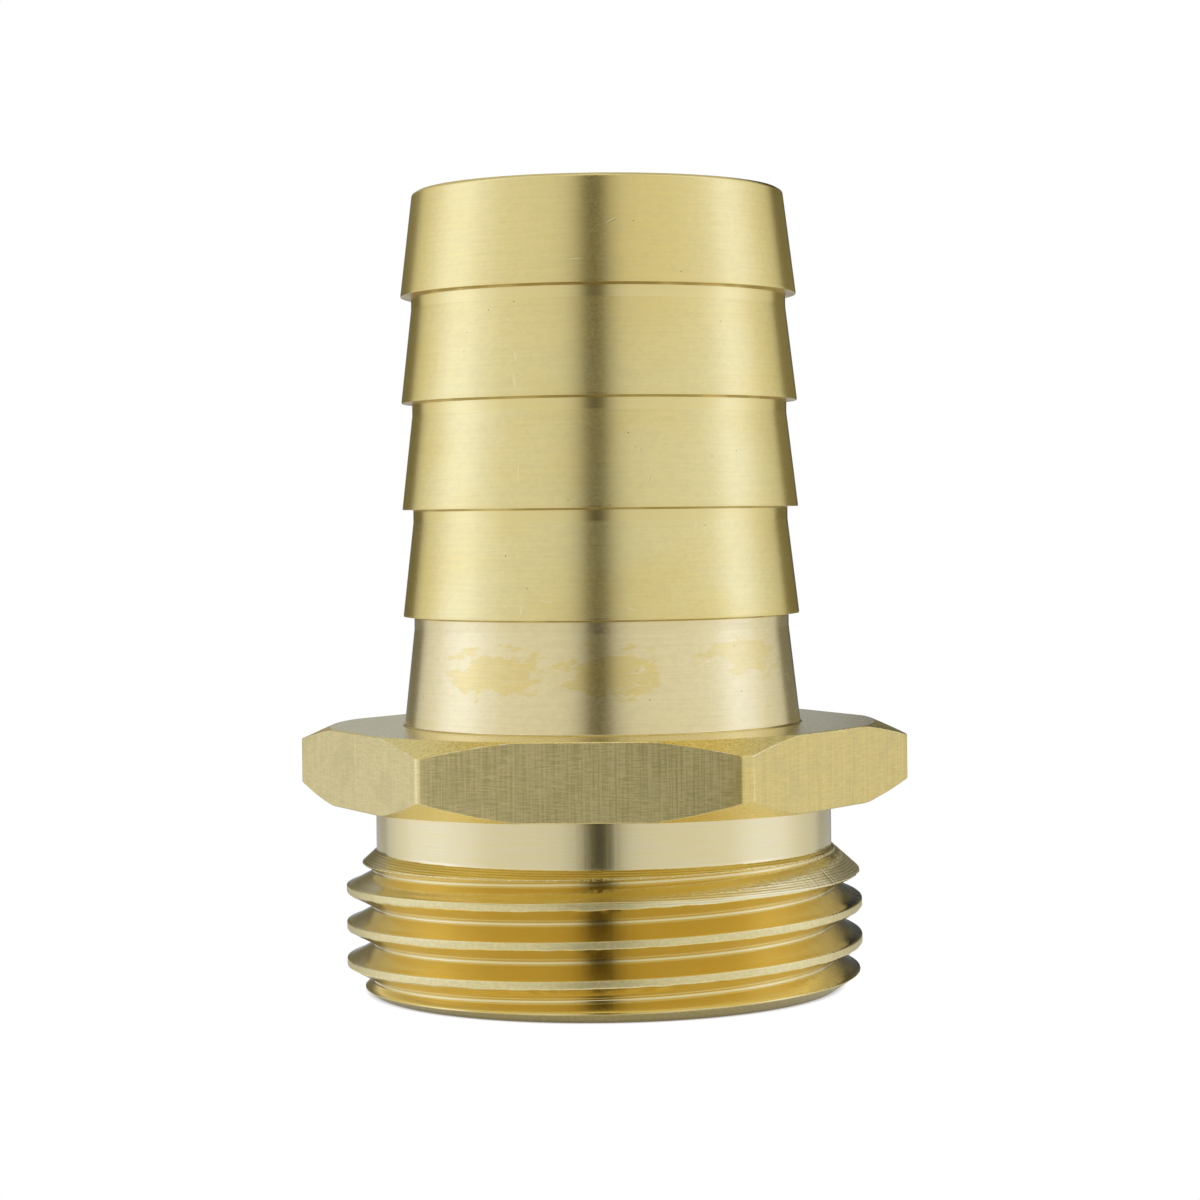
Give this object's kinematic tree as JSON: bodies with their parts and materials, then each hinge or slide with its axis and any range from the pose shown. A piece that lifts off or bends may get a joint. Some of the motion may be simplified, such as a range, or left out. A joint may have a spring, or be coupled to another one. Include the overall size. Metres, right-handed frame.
{
  "type": "hose barb tail",
  "caption": "Brass hose barb tail with a stepped barbed spigot, chamfered hexagon, relief neck, male parallel pipe thread and a through bore.",
  "frame": {"origin": "centre of the thread's end face, on the bore axis", "axes": "+Z along the bore from the thread to the hose end, a hexagon flat faces -Y and two of its corners lie on the X axis"},
  "size_m": [0.0388, 0.034, 0.0507],
  "materials": {
    "brass": "satin turned brass"
  },
  "bodies": {
    "root": {"hose_tail": "brass"}
  },
  "joints": []
}
